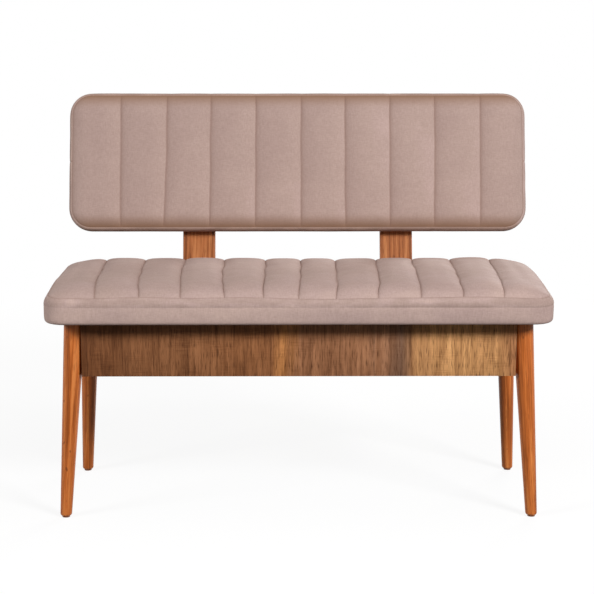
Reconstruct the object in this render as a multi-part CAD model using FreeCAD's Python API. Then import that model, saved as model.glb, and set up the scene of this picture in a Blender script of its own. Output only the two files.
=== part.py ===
import FreeCAD, Part
import math
import os

os.makedirs("parts", exist_ok=True)
Vector = FreeCAD.Vector

# A padded dining bench: X runs along the seat, Y from front to back, Z up from the floor.
# Lengths are in millimetres, angles in degrees. Y is counted from the seat's front edge while the
# pieces are made, and the finished bench is then centred on its own box.

# Seat cushion
seat_width = 1045.0
seat_depth = 420.0
seat_base_height = 419.0        # underside of the seat
seat_corner_radius = 45.0
seat_board_thickness = 15.0
seat_foam_thickness = 36.5
seat_roll_radius = 12.0         # rolled top edge of the border
seat_channel_count = 12
seat_rise = 13.2                # channel seams above the edge seam
seat_crown = 3.0                # extra height at the middle of the depth
seat_puff = 5.5                 # ridge of a channel above its seams

# Backrest cushion
back_width = 1039.0
back_height = 316.0
back_corner_radius = 50.0
back_board_thickness = 12.0
back_foam_thickness = 20.0
back_roll_radius = 10.0
back_channel_count = 10
back_rise = 4.5
back_crown = 2.0
back_puff = 4.0
back_lean = 15.5
back_gap = 47.2                 # between the seat's highest ridge and the backrest
back_cover_thickness = 1.2
back_cover_inset = 6.0

# Upholstery shared by both cushions
cloth_thickness = 1.2           # hem folded under the board
hem_radius = 8.0                # rounded lower edge of the border
hem_width = 20.0                # hem under the board
hem_corner_share = 0.5          # corner of the hem as a share of the cushion's corner
panel_edge = 3.0                # thickness of the quilted panel at its edge seam
least_puff = 0.5                # ridge of a channel at the edge seam
band_share = 0.5                # border thickness as a share of its roll radius
band_hollow = 1.0               # border drawn in at mid height
band_side_draw = 1.5            # border drawn in between the corners
roll_angle = 75.0
edge_step_count = 4
corner_step_count = 4

# Apron box under the seat
front_overhang = 52.0
side_overhang = 71.0
post_gap = 0.5                  # between the seat's rear edge and the posts
apron_height = 117.5
apron_thickness = 18.0
apron_end_setback = 2.0         # front and rear aprons stop short of the legs
rail_thickness = 18.0
rail_height = 60.0
block_side = 30.0
block_height_share = 0.31       # of the apron's height
block_lift = 4.0                # above the lower edge of the aprons

# Dowels
dowel_radius = 4.0
dowel_in_end = 25.0
apron_dowel_shares = (0.34, 0.74)  # of the apron's height, from its top
rail_dowel_shares = (0.3, 0.7)  # of the rail's height, from its top

# Legs
leg_top_radius = 22.2
leg_foot_radius = 12.0
leg_foot_round = 5.5
front_leg_flat_share = 0.566    # flat's distance from the axis at the seat, of the top radius
rear_leg_flat_share = 0.63
front_leg_setback = 6.0         # leg axis behind the front apron, at the seat
rear_leg_setback = 40.0         # leg axis ahead of the rear apron, at the seat
front_leg_side_splay = 25.2     # outward run from seat to floor
rear_leg_side_splay = 18.5
front_leg_splay = 25.0          # forward run from seat to floor
rear_leg_splay = 30.0           # backward run from seat to floor
glide_radius = 8.0
glide_thickness = 2.5
glide_nail_radius = 1.5
glide_nail_length = 14.0

# Leg bolts
leg_bolt_radius = 3.0
leg_bolt_flats = 10.0
leg_bolt_head = 4.0
leg_bolt_shares = (0.18, 0.5)   # of the apron's height, from its top
leg_bolt_bite = 22.0            # inside the leg
insert_radius = 5.0
insert_length = 13.0
washer_radius = 8.0
washer_thickness = 1.6
washer_margin = 2.0             # between a washer and the end of the side apron

# Back posts
post_width = 73.5
post_thickness = 22.0
post_spacing = 450.5            # between the posts' middle lines
post_lift = 6.0                 # above the lower edge of the aprons
post_bend_drop = 19.0           # bend below the seat's underside
post_top_drop = 60.0            # below the backrest's upper edge
post_edge_round = 2.5

# Post bolts and tee nuts
post_bolt_radius = 3.0
post_bolt_head_radius = 7.0
post_bolt_head = 3.0
post_bolt_key_flats = 4.0
post_bolt_key_depth = 1.8
post_bolt_tip = 2.0             # beyond the nut
post_bolt_shares = (0.26, 0.66)  # of the apron's height, from its lower edge
back_bolt_shares = (0.18, 0.82)  # of the posts' lap on the backrest, from its lower edge
nut_flats = 10.0
nut_thickness = 5.0
tee_flange_radius = 9.0
tee_flange_thickness = 1.2
tee_barrel_radius = 3.9
tee_cover = 2.8                 # board left behind a tee nut's barrel

# Seat brackets and wood screws
bracket_leg = 25.0
bracket_width = 20.0
bracket_thickness = 2.0
bracket_screw_reach = 15.0      # screw from the bracket's corner
bracket_spacing = 300.0
screw_radius = 2.0
screw_head_radius = 3.8
block_screw_shares = (0.28, 0.72)  # of the block's height

# Fits
shank_clearance = 0.25          # bolt in a through hole, on the radius
thread_clearance = 0.05         # bolt in a nut, on the radius
tip_cover = 6.0                 # wood left beyond the tip of a screw or dowel
board_tip_cover = 4.0           # seat board left beyond the tip of a screw
cut_overrun = 5.0

# Places worked out from the sizes above
frame_half_width = seat_width / 2 - side_overhang
frame_front = front_overhang
frame_rear = seat_depth + post_gap
apron_bottom = seat_base_height - apron_height
apron_half_length = frame_half_width - apron_end_setback
front_joint = frame_front + apron_thickness
rear_joint = frame_rear - apron_thickness
side_inner = frame_half_width - apron_thickness
roll_turn = math.radians(roll_angle)
lean = math.radians(back_lean)
post_bend = seat_base_height - post_bend_drop
block_height = apron_height * block_height_share
dowel_in_face = apron_thickness - tip_cover
leg_bolt_setback = washer_radius + washer_margin
sides = {"left": -1, "right": 1}
along_x = Vector(1, 0, 0)
up = Vector(0, 0, 1)


def box(x_low, x_high, y_low, y_high, z_low, z_high):
    low = Vector(min(x_low, x_high), min(y_low, y_high), z_low)
    return Part.makeBox(abs(x_high - x_low), abs(y_high - y_low), z_high - z_low, low)


def rod(radius, start, direction, length):
    return Part.makeCylinder(radius, length, start, direction)


def side_edge(start, end, draw):
    if draw.Length == 0:
        return Part.LineSegment(start, end).toShape()
    return Part.Arc(start, (start + end) / 2 + draw, end).toShape()


def outline(half_width, half_depth, radius, height, draw=0.0):
    # Rounded rectangle about the Z axis, with its sides drawn in between the corners.
    corners = []
    for quarter, (side_x, side_y) in enumerate(((1, -1), (1, 1), (-1, 1), (-1, -1))):
        middle = Vector(side_x * (half_width - radius), side_y * (half_depth - radius), height)
        turns = [math.pi / 2 * (quarter - 1) + math.pi / 4 * step for step in range(3)]
        corners.append([middle + Vector(math.cos(a), math.sin(a), 0) * radius for a in turns])
    edges = []
    for quarter, corner in enumerate(corners):
        following = corners[(quarter + 1) % len(corners)]
        turn = math.pi / 2 * quarter
        inward = Vector(-math.cos(turn), -math.sin(turn), 0)
        edges.append(Part.Arc(*corner).toShape())
        edges.append(side_edge(corner[-1], following[0], inward * draw))
    return Part.Wire(edges)


def aimed(shape, start, direction):
    # Moves a shape made along +Z from the origin to start, pointing along direction.
    shape.Placement = FreeCAD.Placement(start, FreeCAD.Rotation(up, direction))
    return shape


def hexagon(across_flats, height):
    corner = across_flats / 2 / math.cos(math.pi / 6)
    turns = [math.pi / 3 * step for step in range(7)]
    points = [Vector(corner * math.cos(a), corner * math.sin(a), 0) for a in turns]
    return Part.Face(Part.makePolygon(points)).extrude(Vector(0, 0, height))


def hex_bolt(start, direction, length):
    # Start is the seat of the head.
    head = hexagon(leg_bolt_flats, leg_bolt_head)
    head.translate(Vector(0, 0, -leg_bolt_head))
    shank = Part.makeCylinder(leg_bolt_radius, length)
    return aimed(head.fuse(shank).removeSplitter(), start, direction)


def button_bolt(start, direction, length):
    # Start is the seat of the head, and the key recess is in the head's outer face.
    head = Part.makeCylinder(post_bolt_head_radius, post_bolt_head, Vector(0, 0, -post_bolt_head))
    key = hexagon(post_bolt_key_flats, post_bolt_key_depth)
    key.translate(Vector(0, 0, -post_bolt_head))
    shank = Part.makeCylinder(post_bolt_radius, length)
    return aimed(head.fuse(shank).removeSplitter().cut(key), start, direction)


def washer(start, direction, bolt_radius):
    disc = Part.makeCylinder(washer_radius, washer_thickness)
    hole = Part.makeCylinder(bolt_radius + shank_clearance, washer_thickness)
    return aimed(disc.cut(hole), start, direction)


def hex_nut(start, direction):
    hole = Part.makeCylinder(post_bolt_radius + thread_clearance, nut_thickness)
    return aimed(hexagon(nut_flats, nut_thickness).cut(hole), start, direction)


def wood_screw(start, direction, length):
    # Countersunk: start is the outer face of the head.
    head_height = screw_head_radius - screw_radius
    head = Part.makeCone(screw_head_radius, screw_radius, head_height)
    shank = Part.makeCylinder(screw_radius, length - head_height, Vector(0, 0, head_height))
    return aimed(head.fuse(shank).removeSplitter(), start, direction)


class Cushion:
    # Board, foam, border and quilted panel, made flat about the origin with the underside at Z zero.

    def __init__(self, width, depth, corner, board, foam, roll, channels, rise, crown, puff):
        self.half_width = width / 2
        self.half_depth = depth / 2
        self.corner = corner
        self.roll = roll
        self.channels = channels
        self.rise = rise
        self.crown = crown
        self.puff = puff
        self.board_bottom = cloth_thickness
        self.foam_bottom = self.board_bottom + board
        self.panel_bottom = self.foam_bottom + foam
        self.seam = self.panel_bottom + panel_edge
        self.seam_inset = roll * (1 - math.cos(roll_turn))
        self.core_inset = roll * band_share

    def ring(self, inset, height, draw=0.0):
        return outline(self.half_width - inset, self.half_depth - inset, self.corner - inset, height, draw)

    def slab(self, inset, bottom, top):
        return Part.Face(self.ring(inset, bottom)).extrude(Vector(0, 0, top - bottom))

    def hem_opening(self, bottom, top):
        inset = self.core_inset + hem_width
        corner = self.corner * hem_corner_share
        rim = outline(self.half_width - inset, self.half_depth - inset, corner, bottom)
        return Part.Face(rim).extrude(Vector(0, 0, top - bottom))

    def board(self):
        return self.slab(self.core_inset, self.board_bottom, self.foam_bottom)

    def foam(self):
        return self.slab(self.core_inset, self.foam_bottom, self.panel_bottom)

    def under_cover(self):
        return self.hem_opening(0, self.board_bottom)

    def band(self):
        roll_start = self.seam - self.roll * math.sin(roll_turn)
        rings = []
        for step in range(edge_step_count + 1):
            turn = math.pi / 2 * step / edge_step_count
            rings.append(self.ring(hem_radius * (1 - math.sin(turn)), hem_radius * (1 - math.cos(turn))))
        rings.append(self.ring(band_hollow, (hem_radius + roll_start) / 2, band_side_draw))
        for step in range(edge_step_count + 1):
            turn = roll_turn * step / edge_step_count
            rings.append(self.ring(self.roll * (1 - math.cos(turn)), roll_start + self.roll * math.sin(turn)))
        skin = Part.makeLoft(rings, True, True)
        core = self.slab(self.core_inset, self.board_bottom, self.panel_bottom)
        well = self.slab(self.seam_inset, self.panel_bottom, self.seam + cut_overrun)
        return skin.cut([core, well, self.hem_opening(-cut_overrun, self.board_bottom)])

    def section(self, place, half_width, fullness, seams, half_depth):
        # One cut across the channels: a row of arcs over a flat underside.
        bulge = self.crown * (1 - (place / half_depth) ** 2)
        valley = self.seam + fullness * (self.rise + bulge)
        ridge = Vector(0, 0, least_puff + fullness * self.puff)
        tops = [Vector(-half_width, place, self.seam)]
        tops += [Vector(x, place, valley) for x in seams]
        tops.append(Vector(half_width, place, self.seam))
        edges = [Part.Arc(a, (a + b) / 2 + ridge, b).toShape() for a, b in zip(tops, tops[1:])]
        low_right = Vector(half_width, place, self.panel_bottom)
        low_left = Vector(-half_width, place, self.panel_bottom)
        path = [tops[-1], low_right, low_left, tops[0]]
        edges += [Part.LineSegment(a, b).toShape() for a, b in zip(path, path[1:])]
        return Part.Wire(edges)

    def panel(self):
        half_width = self.half_width - self.seam_inset
        half_depth = self.half_depth - self.seam_inset
        corner = self.corner - self.seam_inset
        pitch = 2 * half_width / self.channels
        seams = [pitch * step - half_width for step in range(1, self.channels)]
        turns = [math.pi / 2 * step / corner_step_count for step in range(corner_step_count + 1)]
        stations = []
        for turn in turns:
            place = half_depth - corner * (1 - math.cos(turn))
            stations.append((place, half_width - corner * (1 - math.sin(turn)), math.sin(turn)))
        front = [(-place, width, fullness) for place, width, fullness in stations]
        rows = front + [(0, half_width, 1)] + stations[::-1]
        sections = [self.section(*row, seams, half_depth) for row in rows]
        return Part.makeLoft(sections, True, True)


seat = Cushion(seat_width, seat_depth, seat_corner_radius, seat_board_thickness, seat_foam_thickness,
               seat_roll_radius, seat_channel_count, seat_rise, seat_crown, seat_puff)
back = Cushion(back_width, back_height, back_corner_radius, back_board_thickness, back_foam_thickness,
               back_roll_radius, back_channel_count, back_rise, back_crown, back_puff)
seat_place = FreeCAD.Placement(Vector(0, seat_depth / 2, seat_base_height), FreeCAD.Rotation())
slope = Vector(0, math.sin(lean), math.cos(lean))
facing = Vector(0, -math.cos(lean), math.sin(lean))
bend_point = Vector(0, frame_rear, post_bend)
seat_crest = seat_base_height + seat.seam + seat_rise + seat_crown + seat_puff
back_lift = (seat_crest + back_gap - post_bend) / math.cos(lean)
back_middle = bend_point + slope * (back_lift + back_height / 2) + facing * back_cover_thickness
back_place = FreeCAD.Placement(back_middle, FreeCAD.Rotation(along_x, 90 - back_lean))


def placed(shape, place):
    shape.Placement = place.multiply(shape.Placement)
    return shape


nodes = {}

# Dowels between the aprons, and between the aprons and the centre rail
side_middle = (frame_half_width + side_inner) / 2
joints = {"front": (front_joint, 1), "rear": (rear_joint, -1)}


def joint_dowels(x, height, shares):
    dowels = []
    for joint, inward in joints.values():
        for share in shares:
            start = Vector(x, joint - inward * dowel_in_face, seat_base_height - height * share)
            dowels.append(rod(dowel_radius, start, Vector(0, inward, 0), dowel_in_face + dowel_in_end))
    return dowels


apron_dowels = []
for side in sides.values():
    apron_dowels += joint_dowels(side * side_middle, apron_height, apron_dowel_shares)
rail_dowels = joint_dowels(0, rail_height, rail_dowel_shares)
nodes["apron_dowels"] = Part.makeCompound(apron_dowels)
nodes["rail_dowels"] = Part.makeCompound(rail_dowels)

# Corner blocks in the four inner corners, screwed to both aprons
block_bottom = apron_bottom + block_lift
block_screw_length = block_side + apron_thickness - tip_cover
block_screws = []
for end, (joint, inward) in joints.items():
    for side_name, side in sides.items():
        far_x = side * (side_inner - block_side)
        far_y = joint + inward * block_side
        block = box(side * side_inner, far_x, joint, far_y, block_bottom, block_bottom + block_height)
        middle_x = side * (side_inner - block_side / 2)
        middle_y = joint + inward * block_side / 2
        low, high = (block_bottom + block_height * share for share in block_screw_shares)
        screws = [wood_screw(Vector(middle_x, far_y, high), Vector(0, -inward, 0), block_screw_length),
                  wood_screw(Vector(far_x, middle_y, low), Vector(side, 0, 0), block_screw_length)]
        block_screws += screws
        nodes[f"corner_block_{end}_{side_name}"] = block.cut(screws)
nodes["corner_block_screws"] = Part.makeCompound(block_screws)

# Legs: tapered and splayed, with a flat against the side apron, an insert nut behind each bolt and a
# glide under the foot
leg_ends = {
    "front": (front_leg_flat_share, front_leg_side_splay, front_joint + front_leg_setback, -front_leg_splay),
    "rear": (rear_leg_flat_share, rear_leg_side_splay, rear_joint - rear_leg_setback, rear_leg_splay),
}
leg_bolts = []
leg_washers = []
leg_inserts = []
leg_holes = []
for end, (flat_share, side_splay, top_y, run_y) in leg_ends.items():
    bolt_y = max(top_y, front_joint + leg_bolt_setback)
    for side_name, side in sides.items():
        top = Vector(side * (frame_half_width + leg_top_radius * flat_share), top_y, seat_base_height)
        foot = top + Vector(side * side_splay, run_y, -seat_base_height)
        axis = top - foot
        spread = (leg_top_radius - leg_foot_radius) / axis.Length * cut_overrun
        along = axis / axis.Length
        cone = Part.makeCone(leg_foot_radius - spread, leg_top_radius + spread,
                             axis.Length + 2 * cut_overrun, foot - along * cut_overrun, along)
        reach = leg_top_radius + abs(run_y) + side_splay
        leg = cone.common(box(top.x - reach, top.x + reach, top.y - reach, top.y + reach,
                              glide_thickness, seat_base_height))
        rim = [edge for edge in leg.Edges if edge.BoundBox.ZMax < glide_thickness + leg_foot_round]
        leg = leg.makeFillet(leg_foot_round, [edge for edge in rim if len(edge.Vertexes) == 1])
        leg = leg.cut(box(0, side * frame_half_width, top.y - reach, top.y + reach,
                          0, seat_base_height + cut_overrun))
        sole = foot + along * (glide_thickness / along.z)
        glide = rod(glide_radius, Vector(sole.x, sole.y, 0), up, glide_thickness)
        nail = rod(glide_nail_radius, sole, up, glide_nail_length)
        nodes[f"foot_glide_{end}_{side_name}"] = glide.fuse(nail).removeSplitter()
        outward = Vector(side, 0, 0)
        cuts = [nail]
        for share in leg_bolt_shares:
            face = Vector(side * frame_half_width, bolt_y, seat_base_height - apron_height * share)
            seat_of_head = face - outward * (apron_thickness + washer_thickness)
            bolt_length = washer_thickness + apron_thickness + leg_bolt_bite
            leg_bolts.append(hex_bolt(seat_of_head, outward, bolt_length))
            leg_washers.append(washer(seat_of_head, outward, leg_bolt_radius))
            leg_holes.append(rod(leg_bolt_radius + shank_clearance, seat_of_head, outward,
                                 bolt_length + shank_clearance))
            insert = rod(insert_radius, face, outward, insert_length)
            cuts += [insert, leg_holes[-1]]
            bore = rod(leg_bolt_radius + thread_clearance, face, outward, insert_length)
            leg_inserts.append(insert.cut(bore))
        nodes[f"leg_{end}_{side_name}"] = leg.cut(cuts)
nodes["leg_bolts"] = Part.makeCompound(leg_bolts)
nodes["leg_bolt_washers"] = Part.makeCompound(leg_washers)
nodes["leg_insert_nuts"] = Part.makeCompound(leg_inserts)

# Back posts: upright against the rear apron, then bent back behind the backrest
post_lap = back_height - post_top_drop
post_length = back_lift + post_lap
rear_bend_drop = post_thickness * math.tan(lean / 2)
post_bottom = apron_bottom + post_lift
post_rear = frame_rear + post_thickness
post_top = bend_point + slope * post_length
post_outline = [
    Vector(0, frame_rear, post_bottom),
    bend_point,
    post_top,
    post_top - facing * post_thickness,
    Vector(0, post_rear, post_bend - rear_bend_drop),
    Vector(0, post_rear, post_bottom),
    Vector(0, frame_rear, post_bottom),
]
apron_bolts = []
apron_washers = []
apron_nuts = []
back_bolts = []
tee_nuts = []
tee_holes = []
post_holes = []
forward = Vector(0, -1, 0)
board_front = back.foam_bottom
tee_barrel_length = back_board_thickness - tee_flange_thickness - tee_cover
post_seat = -back_cover_thickness - post_thickness
for side_name, side in sides.items():
    middle = side * post_spacing / 2
    profile = Part.Face(Part.makePolygon([p + Vector(middle - post_width / 2, 0, 0) for p in post_outline]))
    post = profile.extrude(Vector(post_width, 0, 0))
    long_edges = [edge for edge in post.Edges if edge.BoundBox.XLength < post_edge_round]
    post = post.makeFillet(post_edge_round, long_edges)
    for share in post_bolt_shares:
        height = apron_bottom + apron_height * share
        seat_of_head = Vector(middle, post_rear, height)
        inside = Vector(middle, rear_joint, height)
        length = post_thickness + apron_thickness + washer_thickness + nut_thickness + post_bolt_tip
        apron_bolts.append(button_bolt(seat_of_head, forward, length))
        apron_washers.append(washer(inside, forward, post_bolt_radius))
        apron_nuts.append(hex_nut(inside + forward * washer_thickness, forward))
        post_holes.append(rod(post_bolt_radius + shank_clearance, seat_of_head, forward, length))
    for share in back_bolt_shares:
        place = post_lap * share - back_height / 2
        start = Vector(middle, place, post_seat)
        length = board_front - post_seat - tee_flange_thickness
        back_bolts.append(placed(button_bolt(start, up, length), back_place))
        post_holes.append(placed(rod(post_bolt_radius + shank_clearance, start, up, length), back_place))
        flange_place = Vector(middle, place, board_front - tee_flange_thickness)
        flange = rod(tee_flange_radius, flange_place, up, tee_flange_thickness)
        barrel = rod(tee_barrel_radius, flange_place, -up, tee_barrel_length)
        solid = flange.fuse(barrel)
        bore = rod(post_bolt_radius + thread_clearance, flange_place, -up, tee_barrel_length)
        tee_nuts.append(placed(solid.cut(bore), back_place))
        tee_holes.append(placed(solid, back_place))
    nodes[f"post_{side_name}"] = post.cut(post_holes)
nodes["post_apron_bolts"] = Part.makeCompound(apron_bolts)
nodes["post_apron_washers"] = Part.makeCompound(apron_washers)
nodes["post_apron_nuts"] = Part.makeCompound(apron_nuts)
nodes["post_back_bolts"] = Part.makeCompound(back_bolts)
nodes["back_tee_nuts"] = Part.makeCompound(tee_nuts)

# Angle brackets that hold the seat board to the aprons
bracket_x = bracket_spacing / 2
frame_middle = (front_joint + rear_joint) / 2
bracket_places = {
    "front_left": (Vector(-bracket_x, front_joint, seat_base_height), 90),
    "front_right": (Vector(bracket_x, front_joint, seat_base_height), 90),
    "rear_left": (Vector(-bracket_x, rear_joint, seat_base_height), -90),
    "rear_right": (Vector(bracket_x, rear_joint, seat_base_height), -90),
    "left": (Vector(-side_inner, frame_middle, seat_base_height), 0),
    "right": (Vector(side_inner, frame_middle, seat_base_height), 180),
}
seat_screw_length = bracket_thickness + cloth_thickness + seat_board_thickness - board_tip_cover
apron_screw_length = bracket_thickness + apron_thickness - tip_cover
bracket_screws = []
for name, (corner, turn) in bracket_places.items():
    half = bracket_width / 2
    upright = box(0, bracket_thickness, -half, half, -bracket_leg, 0)
    level = box(0, bracket_leg, -half, half, -bracket_thickness, 0)
    into_seat = wood_screw(Vector(bracket_screw_reach, 0, -bracket_thickness), up, seat_screw_length)
    into_apron = wood_screw(Vector(bracket_thickness, 0, -bracket_screw_reach), -along_x, apron_screw_length)
    place = FreeCAD.Placement(corner, FreeCAD.Rotation(up, turn))
    bracket = upright.fuse(level).removeSplitter().cut([into_seat, into_apron])
    nodes[f"seat_bracket_{name}"] = placed(bracket, place)
    bracket_screws += [placed(into_seat, place), placed(into_apron, place)]
nodes["seat_bracket_screws"] = Part.makeCompound(bracket_screws)

# Aprons and centre rail
frame_cuts = apron_dowels + rail_dowels + block_screws + bracket_screws + leg_holes + post_holes
long_apron = (-apron_half_length, apron_half_length)
heights = (apron_bottom, seat_base_height)
nodes["front_apron"] = box(*long_apron, frame_front, front_joint, *heights).cut(frame_cuts)
nodes["rear_apron"] = box(*long_apron, rear_joint, frame_rear, *heights).cut(frame_cuts)
for side_name, side in sides.items():
    apron = box(side * side_inner, side * frame_half_width, front_joint, rear_joint, *heights)
    nodes[f"{side_name}_apron"] = apron.cut(frame_cuts)
half_rail = rail_thickness / 2
rail = box(-half_rail, half_rail, front_joint, rear_joint, seat_base_height - rail_height, seat_base_height)
nodes["centre_rail"] = rail.cut(rail_dowels)

# Seat cushion
nodes["seat_board"] = placed(seat.board(), seat_place).cut(bracket_screws)
nodes["seat_foam"] = placed(seat.foam(), seat_place)
nodes["seat_top_cover"] = placed(seat.panel(), seat_place)
nodes["seat_border_band"] = placed(seat.band(), seat_place)
nodes["seat_dust_cover"] = placed(seat.under_cover(), seat_place).cut(bracket_screws)

# Backrest cushion: the border is joined from two halves at mid height
nodes["back_board"] = placed(back.board(), back_place).cut(tee_holes + post_holes)
nodes["back_foam"] = placed(back.foam(), back_place)
nodes["back_front_cover"] = placed(back.panel(), back_place)
back_band = back.band()
reach = back_width + back_height
for name, low, high in (("upper", 0, reach), ("lower", -reach, 0)):
    half_space = box(-reach, reach, low, high, -reach, reach)
    nodes[f"back_{name}_band"] = placed(back_band.common(half_space), back_place)
rear_cover = back.slab(back_cover_inset, -back_cover_thickness, 0).fuse(back.under_cover())
nodes["back_rear_cover"] = placed(rear_cover.removeSplitter(), back_place).cut(post_holes)

# Centre the bench on its own box and write one file for each piece
whole = Part.makeCompound(list(nodes.values())).optimalBoundingBox()
to_middle = Vector(0, -(whole.YMin + whole.YMax) / 2, 0)
for name, shape in nodes.items():
    shape.translate(to_middle)
    shape.exportStep(f"parts/{name}.step")
print("pieces", len(nodes), "box", [round(v, 1) for v in (whole.XLength, whole.YLength, whole.ZMax)])
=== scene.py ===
import math

import bmesh
import bpy
from mathutils import Matrix, Vector, noise


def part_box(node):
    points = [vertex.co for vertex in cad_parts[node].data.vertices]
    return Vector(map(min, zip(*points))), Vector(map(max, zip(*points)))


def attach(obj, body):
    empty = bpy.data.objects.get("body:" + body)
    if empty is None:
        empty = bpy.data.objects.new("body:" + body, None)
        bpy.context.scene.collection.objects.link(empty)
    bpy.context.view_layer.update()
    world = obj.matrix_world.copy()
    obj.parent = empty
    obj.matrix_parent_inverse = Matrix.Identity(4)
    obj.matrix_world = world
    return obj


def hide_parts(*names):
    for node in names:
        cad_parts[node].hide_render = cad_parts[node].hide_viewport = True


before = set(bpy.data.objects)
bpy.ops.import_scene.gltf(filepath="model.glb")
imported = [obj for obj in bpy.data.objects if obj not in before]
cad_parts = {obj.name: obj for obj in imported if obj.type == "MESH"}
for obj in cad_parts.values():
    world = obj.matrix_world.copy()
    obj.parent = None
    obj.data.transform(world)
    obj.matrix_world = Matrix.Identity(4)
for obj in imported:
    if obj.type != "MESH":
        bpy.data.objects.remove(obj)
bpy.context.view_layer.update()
scene = bpy.context.scene
print("frame loaded,", len(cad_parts), "nodes")


def linear(hexColour):
    channels = [int(hexColour[i:i + 2], 16) / 255 for i in (1, 3, 5)]
    return tuple(c / 12.92 if c <= 0.04045 else ((c + 0.055) / 1.055) ** 2.4 for c in channels) + (1,)


def newMaterial(name):
    material = bpy.data.materials.new(name)
    material.use_nodes = True
    material.node_tree.nodes.clear()
    return material, material.node_tree


def addNode(tree, kind, inputs=None, stops=None, **settings):
    node = tree.nodes.new(kind)
    for name, value in settings.items():
        setattr(node, name, value)
    for name, value in (inputs or {}).items():
        if isinstance(value, bpy.types.NodeSocket):
            tree.links.new(value, node.inputs[name])
        else:
            node.inputs[name].default_value = value
    for index, (position, colour) in enumerate(stops or []):
        ramp = node.color_ramp.elements
        stop = ramp[index] if index < 2 else ramp.new(position)
        stop.position, stop.color = position, linear(colour)
    return node


def featureSize(*millimetres):  # mapping scale that makes a noise cell this large
    return tuple(1000 / size for size in millimetres)


# velvet: short cut pile on a woven back. The pile leans in drifts, so the colour shifts between beige and
# mauve, with painted shade and sheen on some faces; fine crossed threads show up close, and edge-on it blooms
# pale
velvet, tree = newMaterial("velvet_short_cut_pile")
place = addNode(tree, "ShaderNodeTexCoord").outputs["Object"]
drift = addNode(tree, "ShaderNodeTexNoise", {"Vector": place, "Scale": 1000 / 120, "Detail": 2})
strokePlace = addNode(tree, "ShaderNodeMapping", {"Vector": place, "Scale": featureSize(80, 16, 16)})
stroke = addNode(tree, "ShaderNodeTexNoise", {"Vector": strokePlace.outputs[0], "Scale": 1, "Detail": 3})
cloudy = addNode(tree, "ShaderNodeMix", {0: 0.3, 2: drift.outputs[0], 3: stroke.outputs[0]})
lean = addNode(tree, "ShaderNodeAttribute", attribute_name="lean")  # which way the pile is brushed, and painted shade and painted sheen on some faces
lay = addNode(tree, "ShaderNodeMix", {0: 0.55, 2: cloudy.outputs[0], 3: lean.outputs["Fac"]})
layColour = addNode(tree, "ShaderNodeValToRGB", {0: lay.outputs[0]},
                    [(0.32, "#A89088"), (0.82, "#C8AEA3"), (0.5, "#B0988F"), (0.62, "#B79E97")])
# threads are 0.4 mm apart in the cloth, drawn at 1.8 mm so that they show
warpPlace = addNode(tree, "ShaderNodeMapping", {"Vector": place, "Scale": featureSize(1.8, 9, 9)})
weftPlace = addNode(tree, "ShaderNodeMapping", {"Vector": place, "Scale": featureSize(9, 1.8, 1.8)})
warp = addNode(tree, "ShaderNodeTexNoise", {"Vector": warpPlace.outputs[0], "Scale": 1, "Detail": 1})
weft = addNode(tree, "ShaderNodeTexNoise", {"Vector": weftPlace.outputs[0], "Scale": 1, "Detail": 1})
threads = addNode(tree, "ShaderNodeMix", {0: 0.5, 2: warp.outputs[0], 3: weft.outputs[0]})
threadTone = addNode(tree, "ShaderNodeValToRGB", {0: threads.outputs[0]},
                     [(0.34, "#EEECEB"), (0.66, "#FFFFFF")])
threaded = addNode(tree, "ShaderNodeMix", {0: 1.0, 6: layColour.outputs[0], 7: threadTone.outputs[0]},
                   data_type="RGBA", blend_type="MULTIPLY")
crushAndShade = addNode(tree, "ShaderNodeAttribute", attribute_name="crushAndShade")  # pile pressed down at an edge, and painted shade towards the backrest's edges and on some borders
crushShaded = addNode(tree, "ShaderNodeMix",
                {0: crushAndShade.outputs["Fac"], 6: threaded.outputs[2], 7: linear("#84644E")}, data_type="RGBA")
seamShade = addNode(tree, "ShaderNodeAttribute", attribute_name="seam")  # pile parts over a seam, and painted shade beside the backrest's seams
seamed = addNode(tree, "ShaderNodeMix",
                 {0: seamShade.outputs["Fac"], 6: crushShaded.outputs[2], 7: linear("#7A5C4E")}, data_type="RGBA")
pileBump = addNode(tree, "ShaderNodeBump",
                   {"Height": threads.outputs[0], "Strength": 0.3, "Distance": 0.0006})
shader = addNode(tree, "ShaderNodeBsdfPrincipled", {
    "Base Color": seamed.outputs[2], "Roughness": 0.9, "Specular IOR Level": 0.15,
    "Sheen Weight": 0.12, "Sheen Roughness": 0.4, "Sheen Tint": linear("#EBDCD5"),
    "Normal": pileBump.outputs[0]})
addNode(tree, "ShaderNodeOutputMaterial", {"Surface": shader.outputs[0]})

# walnut-pattern foil pressed on particleboard: upright grain in brown bands that turn golden in two
# patches, dark pores, a few short cracks, and a dull satin face
walnut, tree = newMaterial("walnut_foil_pressed")
along = addNode(tree, "ShaderNodeAttribute", attribute_name="board").outputs["Vector"]  # length, height
bandPlace = addNode(tree, "ShaderNodeMapping", {"Vector": along, "Scale": featureSize(45, 600, 300)})
band = addNode(tree, "ShaderNodeTexNoise",
               {"Vector": bandPlace.outputs[0], "Scale": 1, "Detail": 3, "Distortion": 0.4})
alongParts = addNode(tree, "ShaderNodeSeparateXYZ", {0: along})
bandShift = addNode(tree, "ShaderNodeMath", {0: band.outputs[0], 1: 0.16, 2: alongParts.outputs[0]},
                    operation="MULTIPLY_ADD")
figurePlace = addNode(tree, "ShaderNodeMapRange", {0: bandShift.outputs[0], 1: -0.37, 2: 0.53})
figure = addNode(tree, "ShaderNodeValToRGB", {0: figurePlace.outputs[0]}, [
    (0.0, "#855535"), (1.0, "#CA8E61"), (0.22, "#A4704B"), (0.44, "#AF764D"), (0.482, "#D9965B"),
    (0.52, "#B07B57"), (0.66, "#BB8560"), (0.71, "#8E6C57"), (0.77, "#BD895C"), (0.84, "#E7AE74"),
    (0.94, "#E7AE74")])
grainPlace = addNode(tree, "ShaderNodeMapping", {"Vector": along, "Scale": featureSize(5, 150, 60)})
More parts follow.
